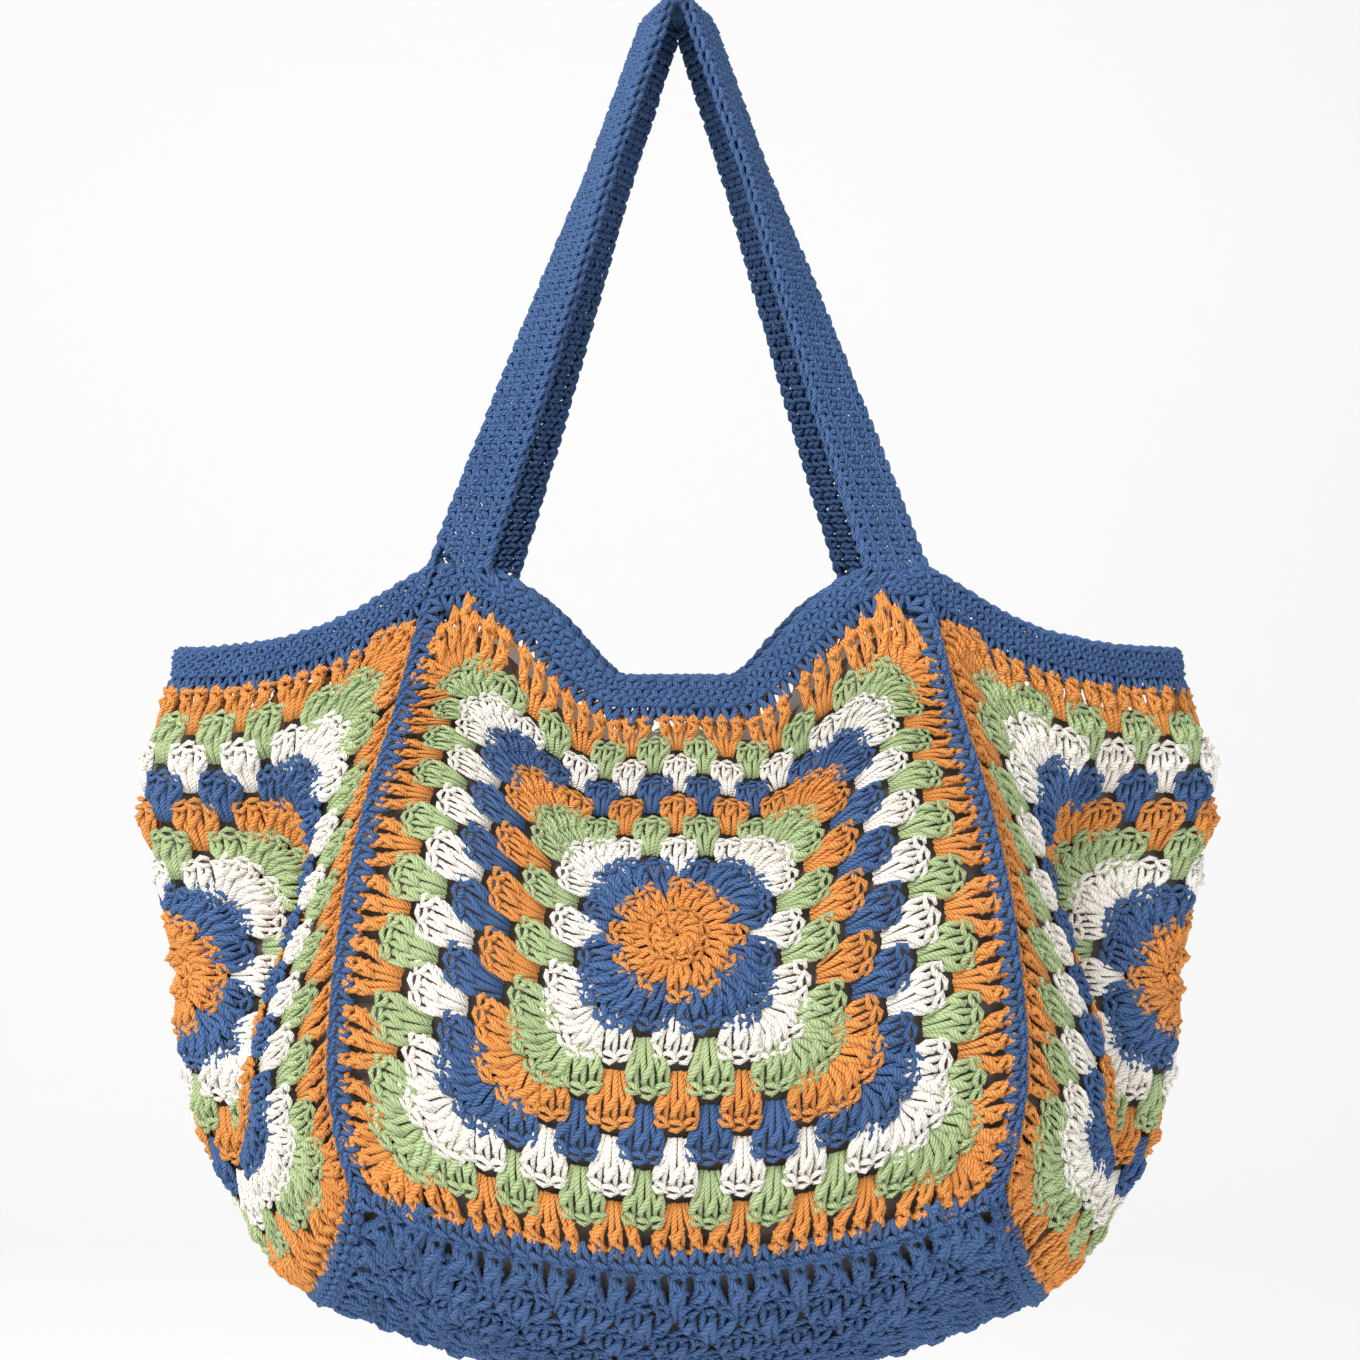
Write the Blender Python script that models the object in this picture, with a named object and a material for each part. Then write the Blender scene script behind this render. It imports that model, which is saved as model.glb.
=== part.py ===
"""A box-shaped crochet tote bag, hanging by its two handles.

Units are metres, +Z is up, +X is the bag's right and +Y its back. The origin is the point
where the handles hang: the inside of their top bend.
Four knitted square panels stand round a fifth one, the base, which bellies down. Raised seams
join them, a rim closes the mouth and two flat straps rise from the rim's corners.
"""

import math

import bmesh
import bpy
from mathutils import Vector

# Clearance between neighbouring pieces
GAP = 0.0003

# The body, measured on the middle of the knitted wall
HANDLE_DROP = 0.246        # hang point down to the rim's corner peaks
RIM_HEIGHT = 0.014         # four rows of single crochet
BODY_HEIGHT = 0.238        # top corner of a panel straight down to the base's corner
CORNER_HALF_WIDTH = 0.136  # widest reach of the corner seams to the left and right
CORNER_DEPTH = 0.098       # reach of the corner seams to the front and back
SIDE_HALF_WIDTH = 0.235    # widest reach of the fold down the middle of each side
FRONT_BELLY = 0.024        # how far the front's middle stands past the corner seams
MOUTH_DIP = 0.046          # middle of the front edge below its corners
SIDE_DIP = 0.034           # middle of the side edge below its corners
FRONT_SAG = 0.024          # middle of the front base seam below the base's corners
SIDE_SAG = 0.060           # middle of the side base seam below the base's corners
BASE_BELLY = 0.012         # extra drop in the middle of the base

# Thicknesses
WALL = 0.004               # granny square clusters, about two yarns thick
LINING_WALL = 0.0012
SEAM_THICKNESS = 0.0062    # corner seams
BASE_SEAM_THICKNESS = 0.0066
LINING_CLEARANCE = 0.0006  # lining to the inner side of the seams
RIM_CLEARANCE = 0.0007     # rim to the panels, whose ends are cut square
SEAM_CLEARANCE = 0.0007    # panels' edges to the seams, which run aslant

# The handles
STRAP_WIDTH = 0.022
STRAP_THICKNESS = 0.0036
STRAP_SPACING = 0.003      # between the two straps where they hang
ROOT_TURN = math.radians(15.0)   # turn of a strap's end against the bag's front
LEG_TURN = math.radians(67.0)    # turn of its leg near the hook
TURNED_AT = 0.72           # share of the leg by which it has that turn

# The inner radius of each strap's bend over the hook. The back one hangs in a tighter bend.
FRONT_BEND_RADIUS = 0.0087
BACK_BEND_RADIUS = 0.0048

# Colours (linear), roughness
BLUE = (0.045, 0.105, 0.305)
RUST = (0.60, 0.19, 0.045)
TAUPE = (0.24, 0.19, 0.165)

# Corner seam, from the base up. Shares of BODY_HEIGHT, CORNER_HALF_WIDTH and CORNER_DEPTH.
SEAM_SECTIONS = (
    # height, width, depth
    (0.00, 0.930, 1.00),
    (0.11, 0.982, 1.02),
    (0.23, 1.000, 1.03),
    (0.45, 0.965, 1.02),
    (0.64, 0.900, 0.97),
    (0.82, 0.812, 0.88),
    (1.00, 0.735, 0.82),
)

# Front's middle, from the base up. Belly is a share of FRONT_BELLY.
BELLY_SECTIONS = (
    # height, belly
    (0.00, 0.35),
    (0.20, 0.80),
    (0.45, 1.00),
    (0.65, 0.80),
    (0.85, 0.18),
    (0.95, -0.02),
    (1.00, -0.05),
)

# Side's middle fold, from the base up. Reach is a share of SIDE_HALF_WIDTH. Ridge is where the pleat
# beside the fold stands, as a share of the way out from the seam to the fold, and pleat is how
# much of the pleat is there.
FOLD_SECTIONS = (
    # height, reach, ridge, pleat
    (0.00, 0.665, 0.78, 0.0),
    (0.05, 0.745, 0.76, 0.5),
    (0.14, 0.815, 0.69, 1.0),
    (0.25, 0.880, 0.61, 1.0),
    (0.40, 0.925, 0.49, 1.0),
    (0.54, 0.936, 0.38, 1.0),
    (0.69, 0.972, 0.28, 0.9),
    (0.80, 0.998, 0.23, 0.5),
    (0.90, 0.985, 0.21, 0.1),
    (0.96, 0.953, 0.20, 0.0),
    (1.00, 0.945, 0.20, 0.0),
)

# One half of a side's level section, in even steps from the corner seam (0) to the fold (1).
# Out is the share of the way out and depth the share of the way back, first without and then
# with the pleat. Before and after say how much of the way out lies before and after the ridge.
SIDE_SECTIONS = (
    # step, plain_out, plain_depth, before, after, tuck, pleat_depth
    (0.000, 0.00, 0.00, 0.00, 0.00, 0.00, 0.00),
    (0.143, 0.23, 0.17, 0.52, 0.00, 0.00, 0.16),
    (0.286, 0.44, 0.34, 0.92, 0.00, 0.00, 0.34),
    (0.429, 0.58, 0.46, 1.00, 0.00, 0.00, 0.47),
    (0.571, 0.70, 0.58, 1.00, 0.05, 0.07, 0.61),
    (0.714, 0.82, 0.71, 1.00, 0.35, 0.06, 0.73),
    (0.857, 0.93, 0.85, 1.00, 0.82, 0.02, 0.86),
    (1.000, 1.00, 1.00, 1.00, 1.00, 0.00, 1.00),
)

# Faces of the model
FRONT_COLUMNS = 14
SIDE_COLUMNS = 2 * (len(SIDE_SECTIONS) - 1)
WALL_ROWS = 14
BASE_COLUMNS = 12
LINING_ROWS = 12
SEAM_SIDES = 6
STRAP_STEPS = 16           # along each leg
BEND_STEPS = 8             # round the top bend

LINING_TOP = 0.955         # share of the body's height that the lining reaches


def column_at(table, column, share):
    """Value of one column of a table at a share between its rows, on a smooth curve."""
    last = len(table) - 1
    row = 0
    while row < last - 1 and share > table[row + 1][0]:
        row += 1
    start = table[row]
    end = table[row + 1]
    span = end[0] - start[0]
    part = min(max((share - start[0]) / span, 0.0), 1.0)
    slopes = []
    for centre in (row, row + 1):
        low = table[max(centre - 1, 0)]
        high = table[min(centre + 1, last)]
        slopes.append((high[column] - low[column]) / (high[0] - low[0]))
    square = part * part
    cube = square * part
    return (
        (2.0 * cube - 3.0 * square + 1.0) * start[column]
        + (cube - 2.0 * square + part) * span * slopes[0]
        + (3.0 * square - 2.0 * cube) * end[column]
        + (cube - square) * span * slopes[1]
    )


def blend(low, high, share):
    return low + (high - low) * share


def ease(share):
    """0 to 1 with a soft start and end."""
    part = min(max(share, 0.0), 1.0)
    return part * part * (3.0 - 2.0 * part)


TOP_CORNER_Z = -(HANDLE_DROP + RIM_HEIGHT)
BASE_CORNER_Z = TOP_CORNER_Z - BODY_HEIGHT


def corner(height):
    """The front right corner seam at a share of its height."""
    return Vector((
        CORNER_HALF_WIDTH * column_at(SEAM_SECTIONS, 1, height),
        -CORNER_DEPTH * column_at(SEAM_SECTIONS, 2, height),
        blend(BASE_CORNER_Z, TOP_CORNER_Z, height),
    ))


def front_point(across, height):
    """Front wall: across from -1 (left seam) to 1 (right seam), height from 0 to 1."""
    seam = corner(height)
    reach = abs(across)
    low = BASE_CORNER_Z - FRONT_SAG * (1.0 - reach ** 2.0)
    high = TOP_CORNER_Z - MOUTH_DIP * (1.0 - ease((reach - 0.25) / 0.60))
    belly = FRONT_BELLY * column_at(BELLY_SECTIONS, 1, height) * math.cos(math.pi * across / 2.0)
    return Vector((seam.x * across, seam.y - belly, blend(low, high, height)))


def right_point(across, height):
    """Right wall: across from -1 (front seam) over the fold (0) to 1 (back seam)."""
    seam = corner(height)
    step = 1.0 - abs(across)
    reach = SIDE_HALF_WIDTH * column_at(FOLD_SECTIONS, 1, height)
    ridge = column_at(FOLD_SECTIONS, 2, height)
    pleat = min(max(column_at(FOLD_SECTIONS, 3, height), 0.0), 1.0)
    plain_out = column_at(SIDE_SECTIONS, 1, step)
    before = column_at(SIDE_SECTIONS, 3, step)
    after = column_at(SIDE_SECTIONS, 4, step)
    tuck = column_at(SIDE_SECTIONS, 5, step)
    pleat_out = ridge * before + (1.0 - ridge) * after - tuck
    out = blend(plain_out, pleat_out, pleat)
    depth = blend(column_at(SIDE_SECTIONS, 2, step), column_at(SIDE_SECTIONS, 6, step), pleat)
    low = BASE_CORNER_Z - SIDE_SAG * (1.0 - (1.0 - plain_out) ** 1.7)
    high = TOP_CORNER_Z - SIDE_DIP * (1.0 - (1.0 - plain_out) ** 2.8)
    return Vector((
        blend(seam.x, reach, out),
        math.copysign(1.0, across) * -seam.y * (1.0 - depth),
        blend(low, high, height),
    ))


def wall_point(side, across, height):
    """A point of one of the four walls, across counted anticlockwise seen from above."""
    if side == "front":
        return front_point(across, height)
    if side == "right":
        return right_point(across, height)
    if side == "back":
        spot = front_point(across, height)
    else:
        spot = right_point(across, height)
    return Vector((-spot.x, -spot.y, spot.z))


def base_point(across, along):
    """Base: across from -1 (left) to 1 (right), along from -1 (front) to 1 (back)."""
    front = wall_point("front", across, 0.0)
    back = wall_point("back", -across, 0.0)
    right = wall_point("right", along, 0.0)
    left = wall_point("left", -along, 0.0)
    right_share = (across + 1.0) / 2.0
    back_share = (along + 1.0) / 2.0
    near = wall_point("front", -1.0, 0.0).lerp(wall_point("front", 1.0, 0.0), right_share)
    far = wall_point("back", 1.0, 0.0).lerp(wall_point("back", -1.0, 0.0), right_share)
    spot = front.lerp(back, back_share) + left.lerp(right, right_share) - near.lerp(far, back_share)
    spot.z -= BASE_BELLY * (1.0 - across ** 2.0) * (1.0 - along ** 2.0)
    return spot


def knit_material(name, colour):
    material = bpy.data.materials.new(name)
    material.use_nodes = True
    shader = material.node_tree.nodes["Principled BSDF"]
    shader.inputs["Base Color"].default_value = (*colour, 1.0)
    shader.inputs["Roughness"].default_value = 0.9
    shader.inputs["Metallic"].default_value = 0.0
    return material


def add_object(name, mesh_builder, material):
    """Turn a filled bmesh into an object of the scene."""
    mesh = bpy.data.meshes.new(name)
    mesh_builder.to_mesh(mesh)
    mesh_builder.free()
    mesh.materials.append(material)
    mesh.shade_smooth()
    piece = bpy.data.objects.new(name, mesh)
    bpy.context.scene.collection.objects.link(piece)
    return piece


def give_thickness(piece, thickness):
    """Thicken a surface by equal amounts to both sides."""
    solid = piece.modifiers.new("thickness", "SOLIDIFY")
    solid.thickness = thickness
    solid.offset = 0.0
    solid.use_even_offset = True
    solid.use_rim = True


def knit_sheet(name, columns, rows, place, colour):
    """A knitted sheet: a grid of (-1..1, -1..1) laid by a function of place."""
    builder = bmesh.new()
    bmesh.ops.create_grid(builder, x_segments=columns, y_segments=rows, size=1.0)
    for vertex in builder.verts:
        vertex.co = place(vertex.co.x, vertex.co.y)
    piece = add_object(name, builder, knit_material(name + "_yarn", colour))
    give_thickness(piece, WALL)
    return piece


def edge_length(side, height):
    """Half the length of a wall's level section."""
    steps = 12
    total = 0.0
    for step in range(steps):
        start = wall_point(side, step / steps - 1.0, height)
        end = wall_point(side, (step + 1) / steps - 1.0, height)
        total += (end - start).length
    return total


def wall_panel(side):
    """One granny square wall, held back from the seams round it."""
    columns = FRONT_COLUMNS if side in ("front", "back") else SIDE_COLUMNS
    side_margin = SEAM_THICKNESS / 2.0 + SEAM_CLEARANCE
    foot_margin = BASE_SEAM_THICKNESS / 2.0 + SEAM_CLEARANCE

    def place(across, up):
        rise = (up + 1.0) / 2.0
        drop = wall_point(side, across, 1.0).z - wall_point(side, across, 0.0).z
        height = blend(foot_margin / drop, 1.0, rise)
        inner = 1.0 - side_margin / edge_length(side, height)
        return wall_point(side, math.copysign(min(abs(across), inner), across), height)

    return knit_sheet("panel_" + side, columns, WALL_ROWS, place, RUST)


def base_panel():
    """The square base, held back from the seam round it."""
    margin = BASE_SEAM_THICKNESS / 2.0 + GAP
    inner_across = 1.0 - margin / edge_length("front", 0.0)
    inner_along = 1.0 - margin / edge_length("right", 0.0)

    def place(across, along):
        return base_point(across * inner_across, along * inner_along)

    return knit_sheet("base_panel", BASE_COLUMNS, BASE_COLUMNS, place, BLUE)


def round_the_bag():
    """Pairs of wall and place across it, once round the bag, each corner once."""
    stops = []
    for side in ("front", "right", "back", "left"):
        count = FRONT_COLUMNS if side in ("front", "back") else SIDE_COLUMNS
        for step in range(count):
            stops.append((side, 2.0 * step / count - 1.0))
    return stops


def tube(name, route, thickness, closed, colour):
    """A round cord of SEAM_SIDES sides along a route."""
    builder = bmesh.new()
    count = len(route)
    rings = []
    for index, spot in enumerate(route):
        before = route[index - 1] if index > 0 or closed else spot
        after = route[(index + 1) % count] if index < count - 1 or closed else spot
        ahead = (after - before).normalized()
        outwards = Vector((spot.x, spot.y, 0.0))
        outwards = (outwards - ahead * outwards.dot(ahead)).normalized()
        beside = ahead.cross(outwards)
        ring = []
        for side in range(SEAM_SIDES):
            angle = 2.0 * math.pi * side / SEAM_SIDES
            reach = outwards * math.cos(angle) + beside * math.sin(angle)
            ring.append(builder.verts.new(spot + reach * thickness / 2.0))
        rings.append(ring)
    pairs = count if closed else count - 1
    for index in range(pairs):
        lower = rings[index]
        upper = rings[(index + 1) % count]
        for side in range(SEAM_SIDES):
            beyond = (side + 1) % SEAM_SIDES
            builder.faces.new((lower[side], lower[beyond], upper[beyond], upper[side]))
    if not closed:
        builder.faces.new(list(reversed(rings[0])))
        builder.faces.new(rings[-1])
    bmesh.ops.recalc_face_normals(builder, faces=builder.faces)
    return add_object(name, builder, knit_material(name + "_yarn", colour))


def corner_seam(name, mirror_x, mirror_y):
    """A corner seam, from the base seam up to the rim."""
    foot = (SEAM_THICKNESS / 2.0 + BASE_SEAM_THICKNESS / 2.0 + GAP) / BODY_HEIGHT
    top = 1.0 - (SEAM_THICKNESS / 2.0 + GAP) / BODY_HEIGHT
    route = []
    for row in range(WALL_ROWS + 1):
        spot = corner(blend(foot, top, row / WALL_ROWS))
        route.append(Vector((spot.x * mirror_x, spot.y * mirror_y, spot.z)))
    return tube(name, route, SEAM_THICKNESS, False, BLUE)


def base_seam():
    """The raised seam where the walls meet the base."""
    route = [wall_point(side, across, 0.0) for side, across in round_the_bag()]
    return tube("base_seam", route, BASE_SEAM_THICKNESS, True, BLUE)


def rim_lines():
    """The rim's lower edge, and the direction in which it rises, once round the mouth."""
    stops = round_the_bag()
    edge = [wall_point(side, across, 1.0) for side, across in stops]
    below = [wall_point(side, across, 0.93) for side, across in stops]
    feet = []
    rises = []
    for index, spot in enumerate(edge):
        ahead = (edge[(index + 1) % len(edge)] - edge[index - 1]).normalized()
        rise = (spot - below[index]).normalized() + Vector((0.0, 0.0, 1.0))
        rise = (rise - ahead * rise.dot(ahead)).normalized()
        feet.append(spot + rise * RIM_CLEARANCE)
        rises.append(rise * (RIM_HEIGHT - RIM_CLEARANCE))
    return feet, rises


def rim():
    """The band round the mouth, upright on the walls' top edges."""
    feet, rises = rim_lines()
    count = len(feet)
    builder = bmesh.new()
    rows = []
    for share in (0.0, 0.5, 1.0):
        rows.append([builder.verts.new(foot + rise * share) for foot, rise in zip(feet, rises)])
    for lower, upper in zip(rows, rows[1:]):
        for index in range(count):
            beyond = (index + 1) % count
            builder.faces.new((lower[index], lower[beyond], upper[beyond], upper[index]))
    piece = add_object("rim", builder, knit_material("rim_yarn", BLUE))
    give_thickness(piece, WALL)
    return piece


def strap_stations(side, bend_radius):
    """Middle and half width of a handle's band, from its left end over the hook to its right.

    Side is -1 for the front handle and 1 for the back one.
    """
    feet, rises = rim_lines()
    seam = corner(1.0)
    half = STRAP_WIDTH / 2.0
    peak = max((foot + rise).z for foot, rise in zip(feet, rises))
    root = Vector((half * math.cos(ROOT_TURN) - seam.x, side * -seam.y, peak + GAP))
    bend = bend_radius + STRAP_THICKNESS / 2.0
    centre = Vector((0.0, side * (STRAP_SPACING / 2.0 + half), -bend_radius))
    lean = math.hypot(root.x, root.y - centre.y) / (root - centre).length
    # The strap's square end stands on its lower edge.
    root.z += STRAP_THICKNESS / 2.0 * lean
    leg = root - centre
    # The leg meets the bend where its own direction touches the circle.
    turn = math.atan2(-leg.x, -leg.z) - math.asin(bend / math.hypot(leg.x, leg.z))
    touch = centre + Vector((-math.cos(turn), 0.0, math.sin(turn))) * bend
    stations = []
    for step in range(STRAP_STEPS):
        share = step / STRAP_STEPS
        twist = blend(ROOT_TURN, LEG_TURN, min(share / TURNED_AT, 1.0))
        across = Vector((math.cos(twist), math.sin(twist) * side, 0.0))
        stations.append((root.lerp(touch, share), across * half))
    for step in range(BEND_STEPS + 1):
        share = step / BEND_STEPS
        angle = blend(math.pi - turn, math.pi / 2.0, share)
        middle = centre + Vector((math.cos(angle), 0.0, math.sin(angle))) * bend
        twist = blend(LEG_TURN, math.pi / 2.0, ease(share))
        across = Vector((math.cos(twist), math.sin(twist) * side, 0.0))
        stations.append((middle, across * half))
    mirrored = []
    for middle, across in reversed(stations[:-1]):
        mirrored.append((
            Vector((-middle.x, middle.y, middle.z)),
            Vector((-across.x, across.y, across.z)),
        ))
    return stations + mirrored


def handle(name, side, bend_radius):
    """A flat strap from the left corner's peak over the hook to the right one's."""
    builder = bmesh.new()
    stations = strap_stations(side, bend_radius)
    edges = [
        [builder.verts.new(middle + across * share) for share in (-1.0, 0.0, 1.0)]
        for middle, across in stations
    ]
    for lower, upper in zip(edges, edges[1:]):
        for column in range(2):
            builder.faces.new((lower[column], lower[column + 1], upper[column + 1], upper[column]))
    piece = add_object(name, builder, knit_material(name + "_yarn", BLUE))
    give_thickness(piece, STRAP_THICKNESS)
    return piece


def lining():
    """A thin cloth bag inside the knitted one, open at the top."""
    builder = bmesh.new()
    stops = round_the_bag()
    count = len(stops)
    rings = []
    for row in range(LINING_ROWS + 1):
        height = LINING_TOP * (1.0 - row / LINING_ROWS)
        rings.append([builder.verts.new(wall_point(side, across, height)) for side, across in stops])
    for upper, lower in zip(rings, rings[1:]):
        for index in range(count):
            beyond = (index + 1) % count
            builder.faces.new((lower[index], lower[beyond], upper[beyond], upper[index]))
    foot = rings[-1]

    def foot_vertex(column, row):
        """Vertex of the base's grid that is also on the walls' lowest ring."""
        if row == 0:
            return foot[column]
        if column == FRONT_COLUMNS:
            return foot[FRONT_COLUMNS + row]
        if row == SIDE_COLUMNS:
            return foot[2 * FRONT_COLUMNS + SIDE_COLUMNS - column]
        return foot[(count - row) % count]

    grid = []
    for row in range(SIDE_COLUMNS + 1):
        line = []
        for column in range(FRONT_COLUMNS + 1):
            if row in (0, SIDE_COLUMNS) or column in (0, FRONT_COLUMNS):
                line.append(foot_vertex(column, row))
            else:
                across = 2.0 * column / FRONT_COLUMNS - 1.0
                line.append(builder.verts.new(base_point(across, 2.0 * row / SIDE_COLUMNS - 1.0)))
        grid.append(line)
    for row in range(SIDE_COLUMNS):
        for column in range(FRONT_COLUMNS):
            builder.faces.new((
                grid[row][column],
                grid[row + 1][column],
                grid[row + 1][column + 1],
                grid[row][column + 1],
            ))
    builder.normal_update()
    inset = max(WALL, SEAM_THICKNESS, BASE_SEAM_THICKNESS) / 2.0 + LINING_CLEARANCE + LINING_WALL / 2.0
    moved = [vertex.co - vertex.normal * inset * vertex.calc_shell_factor() for vertex in builder.verts]
    for vertex, place in zip(builder.verts, moved):
        vertex.co = place
    piece = add_object("lining", builder, knit_material("lining_cloth", TAUPE))
    give_thickness(piece, LINING_WALL)
    return piece


def build_bag():
    for existing in list(bpy.data.objects):
        bpy.data.objects.remove(existing, do_unlink=True)
    for side in ("front", "right", "back", "left"):
        wall_panel(side)
    base_panel()
    corner_seam("seam_front_left", -1.0, 1.0)
    corner_seam("seam_front_right", 1.0, 1.0)
    corner_seam("seam_back_left", -1.0, -1.0)
    corner_seam("seam_back_right", 1.0, -1.0)
    base_seam()
    rim()
    handle("handle_front", -1.0, FRONT_BEND_RADIUS)
    handle("handle_back", 1.0, BACK_BEND_RADIUS)
    lining()


build_bag()
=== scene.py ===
import math

import bmesh
import bpy
import numpy as np
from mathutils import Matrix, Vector


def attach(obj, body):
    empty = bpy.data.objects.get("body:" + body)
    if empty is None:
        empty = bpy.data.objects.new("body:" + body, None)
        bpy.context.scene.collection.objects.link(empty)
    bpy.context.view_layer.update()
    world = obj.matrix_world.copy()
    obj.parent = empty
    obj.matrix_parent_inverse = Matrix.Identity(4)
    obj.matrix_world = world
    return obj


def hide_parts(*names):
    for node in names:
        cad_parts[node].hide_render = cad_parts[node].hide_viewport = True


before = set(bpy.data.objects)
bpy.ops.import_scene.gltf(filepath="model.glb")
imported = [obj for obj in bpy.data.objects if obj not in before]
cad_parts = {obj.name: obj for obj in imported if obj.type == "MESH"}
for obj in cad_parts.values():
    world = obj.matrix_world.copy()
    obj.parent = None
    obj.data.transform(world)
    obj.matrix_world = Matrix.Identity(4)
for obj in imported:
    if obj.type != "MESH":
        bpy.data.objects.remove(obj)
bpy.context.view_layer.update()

draw = np.random.default_rng(41)


# The lining: a thin grey-brown cotton bag, sewn in just under the rim.
# It shows as the dull cloth between the stitch clusters. Its shape is the CAD lining's,
# with its facets shaded smooth.
LINING_LIGHT = (0.30, 0.245, 0.215)
LINING_DARK = (0.135, 0.105, 0.09)
WEAVE_PITCH = 0.0011


def new_material(name, roughness, sheen):
    material = bpy.data.materials.new(name)
    material.use_nodes = True
    nodes = material.node_tree.nodes
    shader = nodes["Principled BSDF"]
    shader.inputs["Roughness"].default_value = roughness
    shader.inputs["Sheen Weight"].default_value = sheen
    shader.inputs["Sheen Roughness"].default_value = 0.45
    shader.inputs["Specular IOR Level"].default_value = 0.25
    return material, nodes, material.node_tree.links, shader


def math_node(nodes, links, operation, first, second=None):
    node = nodes.new("ShaderNodeMath")
    node.operation = operation
    for socket, value in zip(node.inputs, (first, second)):
        if value is None:
            continue
        if isinstance(value, (int, float)):
            socket.default_value = value
        else:
            links.new(value, socket)
    return node.outputs[0]


def mix_colours(nodes, links, share, first, second):
    node = nodes.new("ShaderNodeMix")
    node.data_type = "RGBA"
    links.new(share, node.inputs["Factor"])
    for socket, value in ((node.inputs["A"], first), (node.inputs["B"], second)):
        if isinstance(value, tuple):
            socket.default_value = (*value, 1.0)
        else:
            links.new(value, socket)
    return node.outputs["Result"]


def noise(nodes, links, place, scale, detail=2.0):
    node = nodes.new("ShaderNodeTexNoise")
    node.inputs["Scale"].default_value = scale
    node.inputs["Detail"].default_value = detail
    links.new(place, node.inputs["Vector"])
    return node.outputs["Fac"]


def bump(nodes, links, shader, height, strength, distance):
    node = nodes.new("ShaderNodeBump")
    node.inputs["Strength"].default_value = strength
    node.inputs["Distance"].default_value = distance
    links.new(height, node.inputs["Height"])
    links.new(node.outputs["Normal"], shader.inputs["Normal"])


def lining_cloth():
    material, nodes, links, shader = new_material("lining_cloth", 0.92, 0.2)
    place = nodes.new("ShaderNodeTexCoord").outputs["Object"]
    apart = nodes.new("ShaderNodeSeparateXYZ")
    links.new(place, apart.inputs[0])
    around = math_node(nodes, links, "ADD", apart.outputs["X"], apart.outputs["Y"])
    turns = 2.0 * math.pi / WEAVE_PITCH
    warp = math_node(nodes, links, "SINE", math_node(nodes, links, "MULTIPLY", around, turns))
    weft = math_node(
        nodes, links, "SINE", math_node(nodes, links, "MULTIPLY", apart.outputs["Z"], turns)
    )
    weave = math_node(nodes, links, "MULTIPLY", warp, weft)
    weave = math_node(nodes, links, "MULTIPLY_ADD", weave, 0.5)
    weave.node.inputs[2].default_value = 0.5
    patches = noise(nodes, links, place, 55.0, 3.0)
    tone = math_node(nodes, links, "MULTIPLY", weave, 0.35)
    tone = math_node(nodes, links, "ADD", tone, patches)
    colour = mix_colours(nodes, links, tone, LINING_DARK, LINING_LIGHT)
    links.new(colour, shader.inputs["Base Color"])
    bump(nodes, links, shader, weave, 0.5, 0.0002)
    return material


def copy_of_node(name, node):
    """A new object with a CAD node's mesh, its loose triangles joined."""
    builder = bmesh.new()
    builder.from_mesh(bpy.data.objects[node].data)
    bmesh.ops.remove_doubles(builder, verts=builder.verts, dist=0.000001)
    mesh = bpy.data.meshes.new(name)
    builder.to_mesh(mesh)
    builder.free()
    mesh.shade_smooth()
    piece = bpy.data.objects.new(name, mesh)
    bpy.context.scene.collection.objects.link(piece)
    return piece


lining = copy_of_node("lining_bag", "lining")
lining.data.materials.append(lining_cloth())
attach(lining, "root")
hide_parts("lining")


# The four walls: granny squares of ten rounds in worsted cotton.
# A flower of two orange rounds sits in the middle, and eight square rounds of three-stitch
# clusters follow. The squares stand on edge and hang slack between the seams.
HANDLE_DROP = 0.246
RIM_HEIGHT = 0.014
BODY_HEIGHT = 0.238
CORNER_HALF_WIDTH = 0.136
CORNER_DEPTH = 0.098
SIDE_HALF_WIDTH = 0.235
FRONT_BELLY = 0.024
MOUTH_DIP = 0.046
SIDE_DIP = 0.034
FRONT_SAG = 0.024
SIDE_SAG = 0.060
BASE_BELLY = 0.012
TOP_CORNER_Z = -(HANDLE_DROP + RIM_HEIGHT)
BASE_CORNER_Z = TOP_CORNER_Z - BODY_HEIGHT

SEAM_SECTIONS = np.array((
    # height, width, depth
    (0.00, 0.930, 1.00),
    (0.11, 0.982, 1.02),
    (0.23, 1.000, 1.03),
    (0.45, 0.965, 1.02),
    (0.64, 0.900, 0.97),
    (0.82, 0.812, 0.88),
    (1.00, 0.735, 0.82),
))
BELLY_SECTIONS = np.array((
    # height, belly
    (0.00, 0.35),
    (0.20, 0.80),
    (0.45, 1.00),
    (0.65, 0.80),
    (0.85, 0.18),
    (0.95, -0.02),
    (1.00, -0.05),
))
FOLD_SECTIONS = np.array((
    # height, reach, ridge, pleat
    (0.00, 0.665, 0.78, 0.0),
    (0.05, 0.745, 0.76, 0.5),
    (0.14, 0.815, 0.69, 1.0),
    (0.25, 0.880, 0.61, 1.0),
    (0.40, 0.925, 0.49, 1.0),
    (0.54, 0.936, 0.38, 1.0),
    (0.69, 0.972, 0.28, 0.9),
    (0.80, 0.998, 0.23, 0.5),
    (0.90, 0.985, 0.21, 0.1),
    (0.96, 0.953, 0.20, 0.0),
    (1.00, 0.945, 0.20, 0.0),
))
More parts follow.
